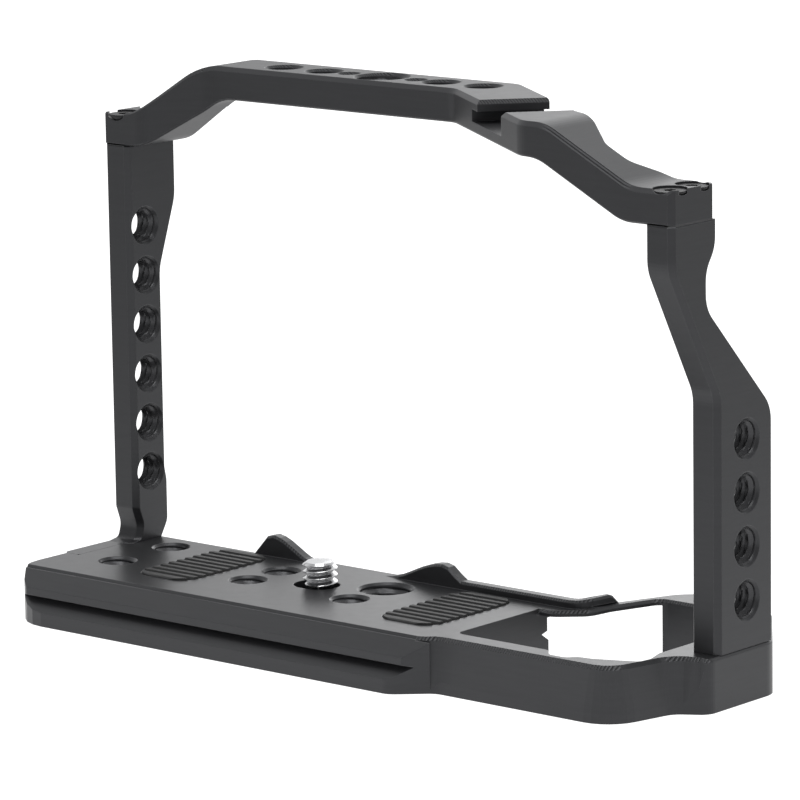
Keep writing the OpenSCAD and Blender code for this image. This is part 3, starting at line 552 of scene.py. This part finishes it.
def table():
    """A round white table under the cage. It glows most in a strip along the picture, so that
    the lower parts of the metal reflect more light than the upper ones: a place glows by
    TABLE_GLOW + STRIP_GLOW * e ** -(its distance aside / STRIP_HALF_WIDTH) ** 2."""
    corners = 96
    angle = np.linspace(0, 2 * np.pi, corners, endpoint=False)
    rim = np.stack([TABLE_RADIUS * np.cos(angle), TABLE_RADIUS * np.sin(angle),
                    np.full(corners, -PLATE_THICKNESS)], axis=-1)
    mesh = bpy.data.meshes.new("table")
    mesh.from_pydata(rim.tolist(), [], [list(range(corners))])
    top = bpy.data.objects.new("table", mesh)
    bpy.context.scene.collection.objects.link(top)
    white = Finish("table_white")
    white.set(Base_Color=(0.35, 0.35, 0.35, 1), Roughness=0.9, Specular_IOR_Level=0.0,
              Emission_Color=(1, 1, 1, 1))
    aside = white.math("DIVIDE", white.likeness(white.place, ASIDE), STRIP_HALF_WIDTH)
    far_off = white.math("POWER", white.math("ABSOLUTE", aside), 2)
    fall = white.math("POWER", np.e, white.math("MULTIPLY", far_off, -1))
    glow = white.math("ADD", white.math("MULTIPLY", fall, STRIP_GLOW), TABLE_GLOW)
    seen = white.node("LightPath").outputs["Is Camera Ray"]
    white.link(white.math("MAXIMUM", glow, seen), "Emission Strength")
    mesh.materials.append(white.material)


def studio():
    """A white room, brightest beyond the cage, and soft lamps that the camera doesn't see."""
    world = bpy.data.worlds.new("white_room")
    bpy.context.scene.world = world
    world.use_nodes = True
    room = Wiring(world.node_tree)
    background = room.tree.nodes["Background"]
    background.inputs["Color"].default_value = (0.99, 0.995, 1, 1)
    beyond = room.likeness(room.node("TexCoord").outputs["Generated"], ALONG)
    level = room.ramp(beyond, *ROOM_GROWS, ROOM_SIDES, ROOM_FAR, smooth=True)
    seen = room.node("LightPath").outputs["Is Camera Ray"]
    room.feed(background.inputs["Strength"], room.math("MAXIMUM", level, seen))
    for name, place, size, power in LAMPS:
        lamp = bpy.data.lights.new(name, "AREA")
        lamp.shape = "DISK"
        lamp.size = size
        lamp.energy = power
        holder = bpy.data.objects.new(name, lamp)
        holder.location = place
        holder.visible_camera = False
        aim = Vector(LAMP_TARGET) - Vector(place)
        holder.rotation_euler = aim.to_track_quat("-Z", "Y").to_euler()
        bpy.context.scene.collection.objects.link(holder)


def photograph_camera():
    """The camera of the photograph: its turn, height and roll, and a long lens."""
    forward = Vector((-sin(CAMERA_TURN) * cos(CAMERA_HEIGHT),
                      cos(CAMERA_TURN) * cos(CAMERA_HEIGHT), -sin(CAMERA_HEIGHT)))
    level_right = Vector((cos(CAMERA_TURN), sin(CAMERA_TURN), 0))
    level_up = level_right.cross(forward)
    right = level_right * cos(CAMERA_ROLL) + level_up * sin(CAMERA_ROLL)
    up = level_up * cos(CAMERA_ROLL) - level_right * sin(CAMERA_ROLL)
    lens = bpy.data.cameras.new("photograph_camera")
    lens.lens = LENS_LENGTH
    lens.sensor_width = SENSOR_WIDTH
    lens.sensor_fit = "HORIZONTAL"
    lens.clip_start = 0.01
    lens.clip_end = 50
    camera = bpy.data.objects.new("photograph_camera", lens)
    axes = Matrix((right, up, -forward)).transposed().to_4x4()
    camera.matrix_world = Matrix.Translation(CAMERA_PLACE) @ axes
    bpy.context.scene.collection.objects.link(camera)
    bpy.context.scene.camera = camera


# Finishes of the solids
plate_finish = anodised("anodised_plate", PLATE_BLACK, 0.22 * MM, scallops=PLATE_SCALLOPS,
                        upright=True)
bar_finish = anodised("anodised_bar", SKIN_BLACK, 0.2 * MM, roughness=0.42,
                      scallops=BAR_SCALLOPS)
arm_finish = anodised("anodised_arm", SKIN_BLACK, 0.25 * MM)
# The threads' lighter black is painted light that lifts the shade inside the holes.
thread_finish = anodised("anodised_thread", THREAD_BLACK_WITH_PAINTED_LIGHT, 0.03 * MM, roughness=0.24)
rubber_finish = rubber("black_rubber")
screw_finish = turned_steel("bright_screw_steel", (0.72, 0.72, 0.73), 0.18)
washer_finish = turned_steel("washer_steel", (0.6, 0.6, 0.6), 0.28)
oxide_finish = oxide_steel("black_oxide_steel")

dress("base_plate", plate_finish)
dress("top_bar", bar_finish)
dress("left_arm", arm_finish)
dress("right_arm", arm_finish)
for soft in ("anti_slip_pad_left", "anti_slip_pad_right", "camera_screw_o_ring"):
    dress(soft, rubber_finish)
dress("camera_screw", screw_finish)
dress("camera_screw_washer", washer_finish)
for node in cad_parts:
    if node.startswith(("top_screw", "foot_screw")):
        dress(node, oxide_finish)

# New pieces
threads("base_plate_threads", thread_finish, PLATE_THICKNESS, UP, PLATE_HOLES,
        [PLATE_LARGE_HOLE])
threads("top_bar_threads", thread_finish, BAR_THICKNESS, UP, BAR_HOLES, [BAR_LARGE_HOLE])
threads("left_arm_threads", thread_finish, ARM_THICKNESS, TOWARDS_RIGHT, LEFT_ARM_HOLES)
threads("right_arm_threads", thread_finish, ARM_THICKNESS, TOWARDS_RIGHT, RIGHT_ARM_HOLES)
rolled_thread(screw_finish)
ribbed_pad("ribbed_pad_left", "anti_slip_pad_left", PAD_LEFT_X, rubber_finish)
ribbed_pad("ribbed_pad_right", "anti_slip_pad_right", PAD_RIGHT_X, rubber_finish)

table()
studio()
photograph_camera()
bpy.context.scene.view_settings.view_transform = "Standard"
